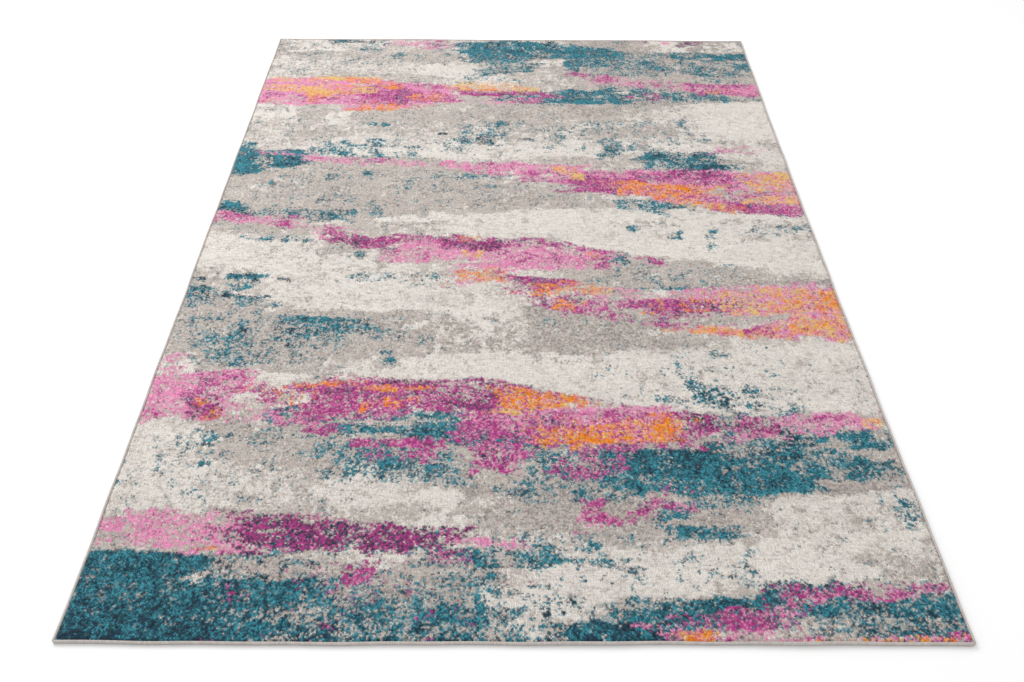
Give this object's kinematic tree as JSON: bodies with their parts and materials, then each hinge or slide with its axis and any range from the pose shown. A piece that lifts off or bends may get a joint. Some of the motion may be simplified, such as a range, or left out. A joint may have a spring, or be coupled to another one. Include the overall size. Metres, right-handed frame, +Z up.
{
  "type": "area rug",
  "caption": "Rectangular machine-woven cut-pile area rug with a brushed multicolour band pattern, overcast edges and a latex-coated back, lying flat.",
  "frame": {"origin": "centre of the underside, on the surface the rug lies on", "axes": "+X across the width, to the right as seen from the near end; +Y along the length, from the near end to the far end; +Z up out of the pile"},
  "size_m": [1.6, 2.3, 0.009],
  "materials": {
    "latex_coat": "matte",
    "jute_weft": "matte",
    "warp_yarn": "matte",
    "pile_cream": "matte",
    "pile_grey": "matte",
    "pile_taupe": "matte",
    "pile_teal": "matte",
    "pile_navy": "matte",
    "pile_pink": "matte",
    "pile_magenta": "matte",
    "pile_apricot": "matte",
    "pile_orange": "matte",
    "filler_cord": "matte",
    "overcast_yarn": "matte"
  },
  "bodies": {
    "root": {"back_coat": "latex_coat", "weft_lower": "jute_weft", "stuffer_warps": "warp_yarn", "weft_upper": "jute_weft", "pile_cream": "pile_cream", "pile_grey": "pile_grey", "pile_taupe": "pile_taupe", "pile_teal": "pile_teal", "pile_navy": "pile_navy", "pile_pink": "pile_pink", "pile_magenta": "pile_magenta", "pile_apricot": "pile_apricot", "pile_orange": "pile_orange", "cord_left": "filler_cord", "cord_right": "filler_cord", "cord_near": "filler_cord", "cord_far": "filler_cord", "overcast_left": "overcast_yarn", "overcast_right": "overcast_yarn", "overcast_near": "overcast_yarn", "overcast_far": "overcast_yarn", "corner_near_left": "overcast_yarn", "corner_near_right": "overcast_yarn", "corner_far_right": "overcast_yarn", "corner_far_left": "overcast_yarn"}
  },
  "joints": []
}
